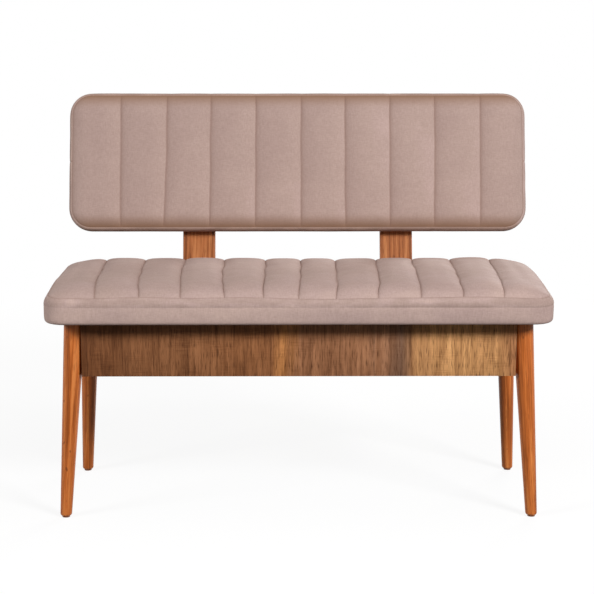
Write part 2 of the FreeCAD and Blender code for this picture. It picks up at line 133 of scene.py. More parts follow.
grain = addNode(tree, "ShaderNodeTexNoise", {
    "Vector": grainPlace.outputs[0], "Scale": 1, "Detail": 5, "Roughness": 0.65, "Distortion": 0.6})
grainTone = addNode(tree, "ShaderNodeValToRGB", {0: grain.outputs[0]},
                    [(0.3, "#948881"), (0.7, "#FFFFFF"), (0.5, "#EFEBE8")])
grained = addNode(tree, "ShaderNodeMix", {0: 0.85, 6: figure.outputs[0], 7: grainTone.outputs[0]},
                  data_type="RGBA", blend_type="MULTIPLY")
mottlePlace = addNode(tree, "ShaderNodeMapping", {"Vector": along, "Scale": featureSize(11, 130, 60)})
mottle = addNode(tree, "ShaderNodeTexNoise",
                 {"Vector": mottlePlace.outputs[0], "Scale": 1, "Detail": 3, "Distortion": 0.5})
mottleTone = addNode(tree, "ShaderNodeValToRGB", {0: mottle.outputs[0]},
                     [(0.32, "#CEC8C3"), (0.66, "#FFFFFF")])
mottled = addNode(tree, "ShaderNodeMix", {0: 1.0, 6: grained.outputs[2], 7: mottleTone.outputs[0]},
                  data_type="RGBA", blend_type="MULTIPLY")
# pores are 0.3 mm wide in the print, drawn at 1.5 mm so that they show
porePlace = addNode(tree, "ShaderNodeMapping", {"Vector": along, "Scale": featureSize(1.5, 24, 20)})
pore = addNode(tree, "ShaderNodeTexNoise", {"Vector": porePlace.outputs[0], "Scale": 1, "Detail": 2})
poreDepth = addNode(tree, "ShaderNodeMapRange", {0: pore.outputs[0], 1: 0.47, 2: 0.27, 4: 0.85})
pored = addNode(tree, "ShaderNodeMix", {0: poreDepth.outputs[0], 6: mottled.outputs[2], 7: linear("#4A2A18")},
                data_type="RGBA")
crackPlace = addNode(tree, "ShaderNodeMapping", {"Vector": along, "Scale": featureSize(9, 42, 60)})
crack = addNode(tree, "ShaderNodeTexNoise", {"Vector": crackPlace.outputs[0], "Scale": 1, "Detail": 1})
crackDepth = addNode(tree, "ShaderNodeMapRange", {0: crack.outputs[0], 1: 0.74, 2: 0.82, 4: 0.6})
cracked = addNode(tree, "ShaderNodeMix",
                  {0: crackDepth.outputs[0], 6: pored.outputs[2], 7: linear("#2E1A10")}, data_type="RGBA")
# faint level saw marks across the grain, in patches
sawPlace = addNode(tree, "ShaderNodeMapping", {"Vector": along, "Scale": featureSize(28, 2.2, 40)})
saw = addNode(tree, "ShaderNodeTexNoise", {"Vector": sawPlace.outputs[0], "Scale": 1, "Detail": 2})
sawTone = addNode(tree, "ShaderNodeValToRGB", {0: saw.outputs[0]}, [(0.34, "#D6CFCA"), (0.66, "#FFFFFF")])
patchPlace = addNode(tree, "ShaderNodeMapping", {"Vector": along, "Scale": featureSize(50, 35, 60)})
patch = addNode(tree, "ShaderNodeTexNoise", {"Vector": patchPlace.outputs[0], "Scale": 1, "Detail": 1})
sawShare = addNode(tree, "ShaderNodeMapRange", {0: patch.outputs[0], 1: 0.45, 2: 0.7, 4: 0.8})
sawn = addNode(tree, "ShaderNodeMix", {0: sawShare.outputs[0], 6: cracked.outputs[2], 7: sawTone.outputs[0]},
               data_type="RGBA", blend_type="MULTIPLY")
foilBump = addNode(tree, "ShaderNodeBump", {"Height": pore.outputs[0], "Strength": 0.3, "Distance": 0.0004})
foilGloss = addNode(tree, "ShaderNodeMapRange", {0: grain.outputs[0], 3: 0.62, 4: 0.48})
shader = addNode(tree, "ShaderNodeBsdfPrincipled", {
    "Base Color": sawn.outputs[2], "Roughness": foilGloss.outputs[0], "Specular IOR Level": 0.1,
    "Normal": foilBump.outputs[0]})
addNode(tree, "ShaderNodeOutputMaterial", {"Surface": shader.outputs[0]})


# beech with straight close grain: long pale and dark streaks, short ray flecks, a few pin knots, and a
# satin lacquer. The plain beech and the birch plywood have the same figure without the stain
glossSpread = 0.06


def beech(name, colours, attribute, gloss, depth=1):  # depth draws the grain out along y on boards that lean
    deep, middle, pale, fleckTone, knotTone = colours
    material, tree = newMaterial(name)
    if attribute:
        along = addNode(tree, "ShaderNodeAttribute", attribute_name=attribute).outputs["Vector"]
    else:
        along = addNode(tree, "ShaderNodeTexCoord").outputs["Object"]
    streakPlace = addNode(tree, "ShaderNodeMapping",
                          {"Vector": along, "Scale": featureSize(7, 7 * depth, 260)})
    streak = addNode(tree, "ShaderNodeTexNoise", {
        "Vector": streakPlace.outputs[0], "Scale": 1, "Detail": 5, "Roughness": 0.6, "Distortion": 0.2})
    toned = addNode(tree, "ShaderNodeValToRGB", {0: streak.outputs[0]},
                    [(0.35, deep), (0.65, pale), (0.5, middle)])
    # ray flecks are under 1 mm wide, drawn at 2 mm so that they show
    fleckPlace = addNode(tree, "ShaderNodeMapping", {"Vector": along, "Scale": featureSize(2, 2 * depth, 30)})
    fleck = addNode(tree, "ShaderNodeTexNoise", {"Vector": fleckPlace.outputs[0], "Scale": 1, "Detail": 2})
    fleckDepth = addNode(tree, "ShaderNodeMapRange", {0: fleck.outputs[0], 1: 0.45, 2: 0.28, 4: 0.55})
    flecked = addNode(tree, "ShaderNodeMix",
                      {0: fleckDepth.outputs[0], 6: toned.outputs[0], 7: linear(fleckTone)}, data_type="RGBA")
    knotPlace = addNode(tree, "ShaderNodeMapping", {"Vector": along, "Scale": featureSize(9, 9 * depth, 15)})
    knot = addNode(tree, "ShaderNodeTexNoise", {"Vector": knotPlace.outputs[0], "Scale": 1, "Detail": 0})
    knotDepth = addNode(tree, "ShaderNodeMapRange", {0: knot.outputs[0], 1: 0.79, 2: 0.86, 4: 0.6})
    knotted = addNode(tree, "ShaderNodeMix",
                      {0: knotDepth.outputs[0], 6: flecked.outputs[2], 7: linear(knotTone)}, data_type="RGBA")
    lacquer = addNode(tree, "ShaderNodeMapRange",
                      {0: streak.outputs[0], 3: gloss - glossSpread, 4: gloss + glossSpread})
    grainBump = addNode(tree, "ShaderNodeBump",
                        {"Height": fleck.outputs[0], "Strength": 0.12, "Distance": 0.0004})
    shader = addNode(tree, "ShaderNodeBsdfPrincipled", {
        "Base Color": knotted.outputs[2], "Roughness": lacquer.outputs[0], "Specular IOR Level": 0.25,
        "Normal": grainBump.outputs[0]})
    addNode(tree, "ShaderNodeOutputMaterial", {"Surface": shader.outputs[0]})
    return material


beechColours = {  # dark, middle and pale streaks, flecks, knots
    "leg": ("#924914", "#C0672B", "#DB8544", "#73330D", "#51230E"),
    "post": ("#753E19", "#A15F34", "#BC7B4A", "#4F250D", "#2E1308"),
    "plain": ("#B98E60", "#CBA274", "#D7B487", "#A67A4E", "#8A6038"),
    "birch": ("#CDB088", "#D9BF98", "#E2CCA9", "#BD9C70", "#A17E52"),
}
legBeech = beech("beech_turned_stained", beechColours["leg"], "grain", 0.42)
postBeech = beech("beech_planed_stained", beechColours["post"], None, 0.45, depth=9)
plainBeech = beech("beech_sawn_plain", beechColours["plain"], None, 0.62)
birchPly = beech("birch_plywood_sanded", beechColours["birch"], None, 0.66)

# zinc-plated steel, stamped and tumbled: grey with a faint cloudy sheen and blurred reflections
zinc, tree = newMaterial("steel_zinc_plated")
place = addNode(tree, "ShaderNodeTexCoord").outputs["Object"]
cloud = addNode(tree, "ShaderNodeTexNoise", {"Vector": place, "Scale": 1000 / 6, "Detail": 4})
cloudTone = addNode(tree, "ShaderNodeValToRGB", {0: cloud.outputs[0]}, [(0.3, "#A9ACAE"), (0.7, "#C6C8C8")])
cloudGloss = addNode(tree, "ShaderNodeMapRange", {0: cloud.outputs[0], 3: 0.28, 4: 0.48})
shader = addNode(tree, "ShaderNodeBsdfPrincipled", {
    "Base Color": cloudTone.outputs[0], "Metallic": 1.0, "Roughness": cloudGloss.outputs[0]})
addNode(tree, "ShaderNodeOutputMaterial", {"Surface": shader.outputs[0]})

# polypropylene non-woven, spun-bonded: matt black felt with a grid of pressed bond points
feltCloth, tree = newMaterial("polypropylene_nonwoven")
place = addNode(tree, "ShaderNodeTexCoord").outputs["Object"]
bond = addNode(tree, "ShaderNodeTexVoronoi", {"Vector": place, "Scale": 1000 / 2.4, "Randomness": 0.35})
fibre = addNode(tree, "ShaderNodeTexNoise", {"Vector": place, "Scale": 1000 / 9, "Detail": 5})
fibreTone = addNode(tree, "ShaderNodeValToRGB", {0: fibre.outputs[0]}, [(0.3, "#1C1C1E"), (0.7, "#2F2F31")])
feltBump = addNode(tree, "ShaderNodeBump", {"Height": bond.outputs[0], "Strength": 0.4, "Distance": 0.0005})
shader = addNode(tree, "ShaderNodeBsdfPrincipled", {
    "Base Color": fibreTone.outputs[0], "Roughness": 0.95, "Specular IOR Level": 0.2,
    "Normal": feltBump.outputs[0]})
addNode(tree, "ShaderNodeOutputMaterial", {"Surface": shader.outputs[0]})

# polyethylene, injection moulded: brown like the legs, waxy, with a fine spark-eroded grain
glidePlastic, tree = newMaterial("polyethylene_moulded")
place = addNode(tree, "ShaderNodeTexCoord").outputs["Object"]
grit = addNode(tree, "ShaderNodeTexNoise", {"Vector": place, "Scale": 1000 / 0.8, "Detail": 2})
gritTone = addNode(tree, "ShaderNodeValToRGB", {0: grit.outputs[0]}, [(0.3, "#6A3A1C"), (0.7, "#824A26")])
gritBump = addNode(tree, "ShaderNodeBump", {"Height": grit.outputs[0], "Strength": 0.2, "Distance": 0.0002})
shader = addNode(tree, "ShaderNodeBsdfPrincipled", {
    "Base Color": gritTone.outputs[0], "Roughness": 0.5, "IOR": 1.51, "Normal": gritBump.outputs[0]})
addNode(tree, "ShaderNodeOutputMaterial", {"Surface": shader.outputs[0]})

slotFinish = {"velvet": velvet, "walnut_board": walnut, "stained_beech": postBeech, "plain_beech": plainBeech,
              "plywood": birchPly, "zinc_steel": zinc, "dust_cloth": feltCloth, "glide_plastic": glidePlastic,
              "foam": velvet}  # the foam never shows, the cushions stand for it
for name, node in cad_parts.items():
    for materialSlot in node.material_slots:
        slotName = materialSlot.name.split(".")[0]
        if slotName in slotFinish:
            materialSlot.material = slotFinish[slotName]
        else:
            print("no finish for", name, materialSlot.name)
print("finishes made")


def makePiece(name, bm, material, nodes, sharpAngle=None):
    if sharpAngle:
        for edge in bm.edges:
            if len(edge.link_faces) == 2 and edge.calc_face_angle() > math.radians(sharpAngle):
                edge.smooth = False
    for face in bm.faces:
        face.smooth = True
    mesh = bpy.data.meshes.new(name)
    bm.to_mesh(mesh)
    bm.free()
    mesh.materials.append(material)
    piece = bpy.data.objects.new(name, mesh)
    scene.collection.objects.link(piece)
    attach(piece, "root")
    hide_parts(*nodes)
    return piece


# Boards: the four aprons, with a small round on the edges and the grain upright
boardSpec = {"round": 0.0009, "roundSegments": 2, "sharpAngle": 30,
             "figureShift": {"front_apron": 0.0, "rear_apron": 0.37, "left_apron": -0.9, "right_apron": 1.3}}


def makeBoard(node):
    low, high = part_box(node)
    bm = bmesh.new()
    bmesh.ops.create_cube(bm, size=1)
    bmesh.ops.scale(bm, vec=high - low, verts=bm.verts)
    bmesh.ops.translate(bm, vec=(low + high) / 2, verts=bm.verts)
    bmesh.ops.bevel(bm, geom=bm.edges[:], offset=boardSpec["round"], segments=boardSpec["roundSegments"],
                    profile=0.5, affect="EDGES", material=-1)
    alongBoard = bm.verts.layers.float_vector.new("board")
    lengthwise = 0 if high.x - low.x > high.y - low.y else 1
    shift = boardSpec["figureShift"][node]
    for vert in bm.verts:
        vert[alongBoard] = (vert.co[lengthwise] + shift, vert.co.z, vert.co[1 - lengthwise])
    return makePiece(node + "_board", bm, walnut, [node], boardSpec["sharpAngle"])


for node in boardSpec["figureShift"]:
    makeBoard(node)
print("aprons made")

# Legs: turned tapers with a flat milled on the inner side, against the side apron
legSpec = {
    "topRadius": 0.0222, "footRadius": 0.012, "footRound": 0.0055, "footSegments": 5, "sole": 0.0025,
    "overrun": 0.04, "segments": 72, "sharpAngle": 32, "sideShift": 0.3, "cutTolerance": 1e-6,
    "front": {"flatShare": 0.566, "setback": 0.006, "splay": (0.0252, -0.025), "grainShift": 0},
    "rear": {"flatShare": 0.63, "setback": -0.040, "splay": (0.0185, 0.030), "grainShift": 0.7},
}
touching = 1e-5  # points nearer than this touch


def makeLeg(end, side):
    spec, shape = legSpec, legSpec[end]
    apronLow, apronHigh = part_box("right_apron")
    top = Vector((side * (apronHigh.x + spec["topRadius"] * shape["flatShare"]),
                  (apronLow.y if end == "front" else apronHigh.y) + shape["setback"], apronHigh.z))
    foot = Vector((top.x + side * shape["splay"][0], top.y + shape["splay"][1], 0))
    axis = top - foot
    spread = (spec["topRadius"] - spec["footRadius"]) / axis.length * spec["overrun"]
    bm = bmesh.new()
    bmesh.ops.create_cone(bm, cap_ends=True, segments=spec["segments"], radius1=spec["footRadius"] - spread,
                          radius2=spec["topRadius"] + spread, depth=axis.length + 2 * spec["overrun"])
    grain = bm.verts.layers.float_vector.new("grain")
    for vert in bm.verts:
        vert[grain] = vert.co + Vector((side * spec["sideShift"], shape["grainShift"], 0))
    turn = Vector((0, 0, 1)).rotation_difference(axis).to_matrix().to_4x4()
    bmesh.ops.transform(bm, matrix=Matrix.Translation((top + foot) / 2) @ turn, verts=bm.verts)
    cuts = [((0, 0, apronHigh.z), (0, 0, 1)), ((side * apronHigh.x, 0, 0), (-side, 0, 0)),
            ((0, 0, spec["sole"]), (0, 0, -1))]
    for point, normal in cuts:
        bmesh.ops.bisect_plane(bm, geom=bm.verts[:] + bm.edges[:] + bm.faces[:], plane_co=point,
                               plane_no=normal, dist=spec["cutTolerance"], clear_outer=True)
        bmesh.ops.holes_fill(bm, edges=[edge for edge in bm.edges if edge.is_boundary])
    rim = [edge for edge in bm.edges if all(abs(vert.co.z - spec["sole"]) < touching for vert in edge.verts)]
    bmesh.ops.bevel(bm, geom=rim, offset=spec["footRound"], segments=spec["footSegments"], profile=0.5,
                    affect="EDGES", material=-1)
    bmesh.ops.recalc_face_normals(bm, faces=bm.faces)
    node = f"leg_{end}_left" if side < 0 else f"leg_{end}_right"
    return makePiece(node + "_turned", bm, legBeech, [node], spec["sharpAngle"])


for end in ("front", "rear"):
    for side in (-1, 1):
        makeLeg(end, side)
print("legs made")

# Quilted cushions, built flat: x across, y from front to rear (or lower to upper), z outwards
columnShares = (0, 0.016, 0.05, 0.11, 0.19, 0.29, 0.4, 0.5, 0.6, 0.71, 0.81, 0.89, 0.95, 0.984)
quiltSpec = {  # what both cushions share: powers, reaches in metres, noise in waves per metre
    "fan": 2.2, "wanderPitch": (6, 14, 0.37), "wanderEdge": 6,  # how the seams spread and stray
    "pillow": (5, 0.8), "edgeRound": 2.4, "edgeFade": 0.6, "crown": (4, 2),  # how round each form is
    "variety": 0.12, "varietyPitch": (1.7, 3, 4),  # no two channels are filled the same
    "wavePitch": 6, "waveLayer": 7.7, "waveReach": 0.04, "cornerStart": (0.8, 0.3),  # wave of the edge seam
    "tuckReach": 0.02, "capReach": 0.012, "crushShadeReach": 0.03, "crushShadePower": 1.2,
    "edgeShade": 0.55, "joinShade": 0.6, "joinDepth": 0.0014, "sideways": 0.7,
    "panelSlant": 0.1, "borderSlant": 0.06, "rollSheen": 0.5, "rollSheenPitch": (25, 90),  # slant of the pile across the cushion, and painted sheen in patches on the roll
    "creasePitch": 7, "creaseLayer": 2.2, "creaseStart": 0.15, "creaseDrift": 0.9, "creaseBreak": 0.9,
    "foldPitch": 9, "foldLayer": 3.1, "gatherPitch": (22, 60),
    "steps": 20, "airDamping": 2, "evenings": 3, "ownShare": 2,  # simulation
}


def insideDistance(x, y, half, corner):
    overX, overY = abs(x) - (half[0] - corner), abs(y) - (half[1] - corner)
    if overX > 0 and overY > 0:
        return corner - math.hypot(overX, overY)
    return corner - max(overX, overY)


def rowPlaces(spec):
    corner, arcRows = spec["corner"], spec["arcRows"]
    straight = spec["half"][1] - corner
    arc = [corner * math.sin(math.pi / 2 * step / arcRows) for step in range(1, arcRows + 1)]
    middle = [straight * (2 * step / spec["midRows"] - 1) for step in range(spec["midRows"] + 1)]
    if spec["joinGap"]:
        centre = spec["midRows"] // 2
        middle[centre - 1], middle[centre + 1] = -spec["joinGap"], spec["joinGap"]
    return [-straight - reach for reach in reversed(arc)] + middle + [straight + reach for reach in arc]


def seamWave(spec, x, y):  # the edge seam isn't sewn dead straight, and lies higher behind the front edge
    behind = min((y + spec["half"][1]) / spec["liftReach"], 1)
    startX, startY = quiltSpec["cornerStart"]
    cornerX = max(abs(x) / spec["half"][0] - startX, 0) / (1 - startX)
    cornerY = max(y / spec["half"][1] - startY, 0) / (1 - startY)
    lift = spec["rearLift"] * behind * behind * (3 - 2 * behind) - spec["cornerDrop"] * cornerX * cornerY
    pitch = quiltSpec["wavePitch"]
    return spec["seamWave"] * noise.noise(Vector((x * pitch, y * pitch, quiltSpec["waveLayer"]))) + lift


def pillow(share):  # height across one channel, steep at the seams and flat on top
    steep, flat = quiltSpec["pillow"]
    return (1 - abs(2 * share - 1) ** steep) ** flat


def sewPanel(bm, spec, layers):  # bends the flat grid into channels between the seams
    shared, corner = quiltSpec, spec["corner"]
    halfX, halfY = spec["half"]
    rows, channels, columns = rowPlaces(spec), len(spec["seams"]) + 1, len(columnShares)
    fullness = spec["startShare"]
    wanderX, wanderY, wanderChannel = shared["wanderPitch"]
    varietyChannel, varietyY, varietyLayer = shared["varietyPitch"]
    for vert in bm.verts:
        column = round((vert.co.x + 1) / 2 * channels * columns)
        y = rows[round((vert.co.y + 1) / 2 * (len(rows) - 1))]
        past = max(abs(y) - (halfY - corner), 0)
        edgeX = halfX - corner + math.sqrt(max(corner ** 2 - past ** 2, 0))
        ease = 1 - (1 - (y + halfY) / (2 * halfY)) ** shared["fan"]
        lines = [-edgeX] + [front + (rear - front) * ease for front, rear in spec["seams"]] + [edgeX]
        channel = min(column // columns, channels - 1)
        step = column - channel * columns
        share = 1.0 if step == columns else columnShares[step]
        x = lines[channel] + (lines[channel + 1] - lines[channel]) * share
        stray = noise.noise(Vector((x * wanderX, y * wanderY, channel * wanderChannel)))
        x += spec["wander"] * stray * (1 - (x / edgeX) ** shared["wanderEdge"])
        inside = max(insideDistance(x, y, spec["half"], corner), 0)
        if channel == 0:  # the end channels have one seam only
            share = max(share, 0.5)
        if channel == channels - 1:
            share = min(share, 0.5)
        between = 0 < column < channels * columns
        onEdge, onSeam = inside < touching, between and step in (0, columns)
        edgeFade = min(inside / spec["puffReach"], 1) ** shared["edgeFade"]
        nearSide = max(1 - min((edgeX - abs(x)) / spec["riseReach"][0], 1), 0)
        nearEnd = max(1 - min((halfY - abs(y)) / spec["riseReach"][1 if y < 0 else 2], 1), 0)
        rise = spec["rise"] * (1 - nearSide ** shared["edgeRound"]) * (1 - nearEnd ** shared["edgeRound"])
        crownX, crownY = shared["crown"]
        crown = spec["crown"] * (1 - (y / halfY) ** crownY) * (1 - (x / halfX) ** crownX)
        variety = noise.noise(Vector((channel * varietyChannel, y * varietyY, varietyLayer)))
        puff = spec["puff"] * fullness * pillow(share) * edgeFade * (1 + shared["variety"] * variety)
        tuck = spec["tuck"] * max(1 - inside / shared["tuckReach"], 0)
        pull = spec["pull"] * edgeFade + tuck if onSeam else 0
        wave = seamWave(spec, x, y) * max(1 - inside / shared["waveReach"], 0)
        vert.co = (x, y, spec["seamLevel"] + rise + crown + puff - pull + wave)
        nearSeam = spec["seamShade"].get(step % columns, 0) if between else 0
        vert[layers["seam"]] = shared["edgeShade"] if onEdge else nearSeam
        vert[layers["pin"]] = 1.0 if onSeam or onEdge else 0.0
        vert[layers["cap"]] = spec["cap"] * min(inside / shared["capReach"], 1)
        # painted shade that grows towards the two ends of the panel
        pressedAndShaded = max(1 - (halfY - abs(y)) / shared["crushShadeReach"], 0) ** shared["crushShadePower"]
        vert[layers["crushAndShade"]] = spec["edgeCrushAndShade"] * pressedAndShaded
        across, along = spec["leanAcross"] * (share - 0.5), spec["leanAlong"] * y / halfY
        vert[layers["lean"]] = spec["panelShadeLevel"] + across - along + shared["panelSlant"] * x / halfX


def growBorder(bm, spec, layers):  # the border grows out of the edge seam, ring by ring
    shared, corner = quiltSpec, spec["corner"]
    halfX, halfY = spec["half"]
    rollSheenPitch, rollSheenLevelPitch = shared["rollSheenPitch"]
    rim = [edge for edge in bm.edges if edge.is_boundary]
    base = {vert: vert.co.copy() for edge in rim for vert in edge.verts}
    for ring, (outset, level, hold) in enumerate(spec["border"]):
        grown = bmesh.ops.extrude_edge_only(bm, edges=rim)["geom"]
        fresh = {item for item in grown if isinstance(item, bmesh.types.BMVert)}
        origin = {}
        for vert in fresh:
            others = [edge.other_vert(vert) for edge in vert.link_edges]
            origin[vert] = next(base[other] for other in others if other in base)
        for vert, start in origin.items():
            nearX = max(min(start.x, halfX - corner), corner - halfX)
            nearY = max(min(start.y, halfY - corner), corner - halfY)
            outward = Vector((start.x - nearX, start.y - nearY, 0)).normalized()
            joined = spec["joinGap"] and abs(start.y) < touching and hold < 1
            reach = outset - (shared["joinDepth"] if joined else 0)
            if ring == spec["creaseRing"]:  # the crease under the roll comes and goes
                pitch, drift = shared["creasePitch"], shared["creaseDrift"] * start.x / halfX
                broken = noise.noise(Vector((start.x * pitch, start.y * pitch, shared["creaseLayer"])))
                depth = shared["creaseStart"] + drift + shared["creaseBreak"] * broken
                reach -= spec["crease"] * min(max(depth, 0), 1)
            sway = seamWave(spec, start.x, start.y) * max(1 - ring / spec["swayRings"], 0)
            vert.co = Vector((start.x, start.y, level + sway)) + outward * reach
            vert[layers["seam"]] = shared["joinShade"] if joined else 0.0
            vert[layers["pin"]] = max(hold, 1.0 if joined else 0.0)
            vert[layers["cap"]] = spec["borderCap"]
            # painted shade on the border, set by which way it faces
            if abs(outward.x) > shared["sideways"]:
                facing = "left" if outward.x < 0 else "right"
            else:
                facing = "rear" if outward.y > 0 else "front"
            vert[layers["crushAndShade"]] = spec["borderCrushAndShade"].get(facing, 0)
            # painted sheen in patches on the roll, over its painted shade level
            rollSheenAndShade = 0
            if ring < spec["swayRings"]:
                patchy = noise.noise(Vector((start.x * rollSheenPitch, start.y * rollSheenPitch, level * rollSheenLevelPitch)))
                rollSheenAndShade = spec["rollShadeLevel"] + shared["rollSheen"] * patchy
            vert[layers["lean"]] = spec["borderTone"] - shared["borderSlant"] * start.x / halfX + rollSheenAndShade
        base = origin
        newEdges = [item for item in grown if isinstance(item, bmesh.types.BMEdge)]
        rim = [edge for edge in newEdges if all(vert in fresh for vert in edge.verts)]


def quiltedCushion(name, spec):
    bm = bmesh.new()
    bmesh.ops.create_grid(bm, x_segments=(len(spec["seams"]) + 1) * len(columnShares),
                          y_segments=len(rowPlaces(spec)) - 1, size=1)
    layers = {label: bm.verts.layers.float.new(label) for label in ("seam", "pin", "cap", "crushAndShade", "lean")}
    sewPanel(bm, spec, layers)
    growBorder(bm, spec, layers)
    bmesh.ops.recalc_face_normals(bm, faces=bm.faces)
    pins = [vert[layers["pin"]] for vert in bm.verts]
    caps = [vert[layers["cap"]] for vert in bm.verts]
    for label in ("pin", "cap"):  # only the simulation needs these two
        bm.verts.layers.float.remove(bm.verts.layers.float[label])
    piece = makePiece(name, bm, velvet, spec["nodes"])
    inflate(piece, spec, pins, caps)
    settle(piece, spec)
    smooth = piece.modifiers.new("smooth", "SUBSURF")
    smooth.levels = smooth.render_levels = 1
    fine = bpy.data.meshes.new_from_object(piece.evaluated_get(bpy.context.evaluated_depsgraph_get()))
    piece.modifiers.remove(smooth)
    bm = bmesh.new()
    bm.from_mesh(fine)
    openEdges = [edge for edge in bm.edges if edge.is_boundary]
    bmesh.ops.contextual_create(bm, geom=openEdges)  # closes the underside
    bmesh.ops.recalc_face_normals(bm, faces=bm.faces)
    bmesh.ops.transform(bm, matrix=spec["place"], verts=bm.verts)
    bm.to_mesh(piece.data)
    bm.free()
    return piece


def inflate(piece, spec, pins, caps):  # air pressure fills the channels between the pinned seams
    held = piece.vertex_groups.new(name="held")
    for index, weight in enumerate(pins):
        held.add([index], weight, "REPLACE")
    start = [vert.co.copy() for vert in piece.data.vertices]
    cloth = piece.modifiers.new("inflate", "CLOTH")
    cloth.settings.vertex_group_mass = "held"
    cloth.settings.mass = spec["threadMass"]
    cloth.settings.use_pressure = True
    cloth.settings.uniform_pressure_force = spec["pressure"]
    cloth.settings.effector_weights.gravity = 0
    cloth.settings.shrink_min = -spec["slack"]
    cloth.settings.air_damping = quiltSpec["airDamping"]
    cloth.collision_settings.use_collision = False
    for step in range(1, quiltSpec["steps"] + 1):
        scene.frame_set(step)
    settled = piece.evaluated_get(bpy.context.evaluated_depsgraph_get()).data
    moves = [settled.vertices[index].co - place for index, place in enumerate(start)]
    piece.modifiers.remove(cloth)
    piece.vertex_groups.remove(held)
    scene.frame_set(1)
    own = quiltSpec["ownShare"]
    for evening in range(quiltSpec["evenings"]):  # evens the moves out, so that close rows leave no ridges
        total, count = [move * own for move in moves], [own] * len(moves)
        for edge in piece.data.edges:
            first, second = edge.vertices
            total[first] = total[first] + moves[second]
            total[second] = total[second] + moves[first]
            count[first] += 1
            count[second] += 1
        moves = [whole / number for whole, number in zip(total, count)]
    longest = 0
    for vert, move, cap in zip(piece.data.vertices, moves, caps):
        longest = max(longest, move.length)
        if move.length > cap:
            move *= cap / move.length
        vert.co += move
    print(piece.name, "inflated, longest move %.1f mm before the cap" % (longest * 1000))


def settle(piece, spec):  # small gathers, so that no two channels lie the same
    mesh = piece.data
    normals = [vert.normal.copy() for vert in mesh.vertices]
    across, along = quiltSpec["gatherPitch"]
    for vert, normal in zip(mesh.vertices, normals):
        if vert.co.z < spec["hemLevel"]:
            continue
        broad = noise.noise(vert.co * quiltSpec["foldPitch"] + Vector((0, 0, quiltSpec["foldLayer"])))
        gather = noise.noise(Vector((vert.co.x * across, vert.co.y * along, vert.co.z * along)))
        vert.co += normal * (spec["broadFold"] * broad + spec["gather"] * gather)


seatLow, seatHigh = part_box("seat_border_band")
seatSpec = {
    "half": (0.5136, 0.2011), "corner": 0.0361, "arcRows": 8, "midRows": 46, "joinGap": 0,
    "seams": [(-0.415, -0.430), (-0.326, -0.342), (-0.240, -0.255), (-0.151, -0.165), (-0.073, -0.072),
              (-0.001, 0.006), (0.076, 0.083), (0.162, 0.174), (0.248, 0.256), (0.332, 0.342),
              (0.416, 0.431)],  # where each seam starts at the front and ends at the rear
    "wander": 0.003, "seamLevel": 0.0553, "rise": 0.0132, "crown": 0.003, "puff": 0.0054, "puffReach": 0.022,
    "riseReach": (0.11, 0.075, 0.04),  # sides, front, rear
    "pull": 0.0012, "tuck": 0.0009, "seamWave": 0.0038, "rearLift": 0.0085, "liftReach": 0.16,
    "cornerDrop": 0.0055, "swayRings": 7, "creaseRing": 7, "crease": 0.0006,
    "border": [  # rings round the edge: how far out, how high, how firmly held
        (0.0012, 0.0551, 0.6), (0.0034, 0.0539, 0.2), (0.0056, 0.0516, 0), (0.0074, 0.0487, 0),
        (0.0087, 0.0452, 0), (0.0093, 0.0415, 0), (0.0093, 0.0386, 0.2), (0.0091, 0.0368, 0.6),
        (0.0091, 0.0350, 0.2), (0.0090, 0.0315, 0), (0.0089, 0.0255, 0), (0.0089, 0.0192, 0),
        (0.0089, 0.0130, 0.2), (0.0087, 0.0085, 0.7), (0.0078, 0.0045, 1), (0.0056, 0.0018, 1),
        (0.0024, 0.0004, 1), (-0.003, 0, 1), (-0.016, 0, 1), (-0.0165, 0.0018, 1)],
    "seamShade": {0: 0.5, 1: 0.16, 13: 0.16},  # how dark the parted pile is on a seam and beside it
    # the roll's level is painted shade, darker because the roll faces the lamps more than the band does
    "edgeCrushAndShade": 0, "borderCrushAndShade": {}, "panelShadeLevel": 0.5, "borderTone": 0.84, "rollShadeLevel": -0.3,
    "leanAcross": 0.15, "leanAlong": 0.22, "hemLevel": 0.012, "broadFold": 0.0006, "gather": 0.00035,
    "startShare": 0.85, "cap": 0.003, "borderCap": 0.0012, "threadMass": 0.01, "pressure": 2.5,
    "slack": 0.004, "fill": 0.75,
    "place": Matrix.Translation((0, (seatLow.y + seatHigh.y) / 2, seatLow.z)),
    "nodes": ["seat_top_cover", "seat_border_band", "seat_foam"],
}
seatCushion = quiltedCushion("seat_cushion_quilted", seatSpec)
print("seat cushion made,", len(seatCushion.data.vertices), "vertices")

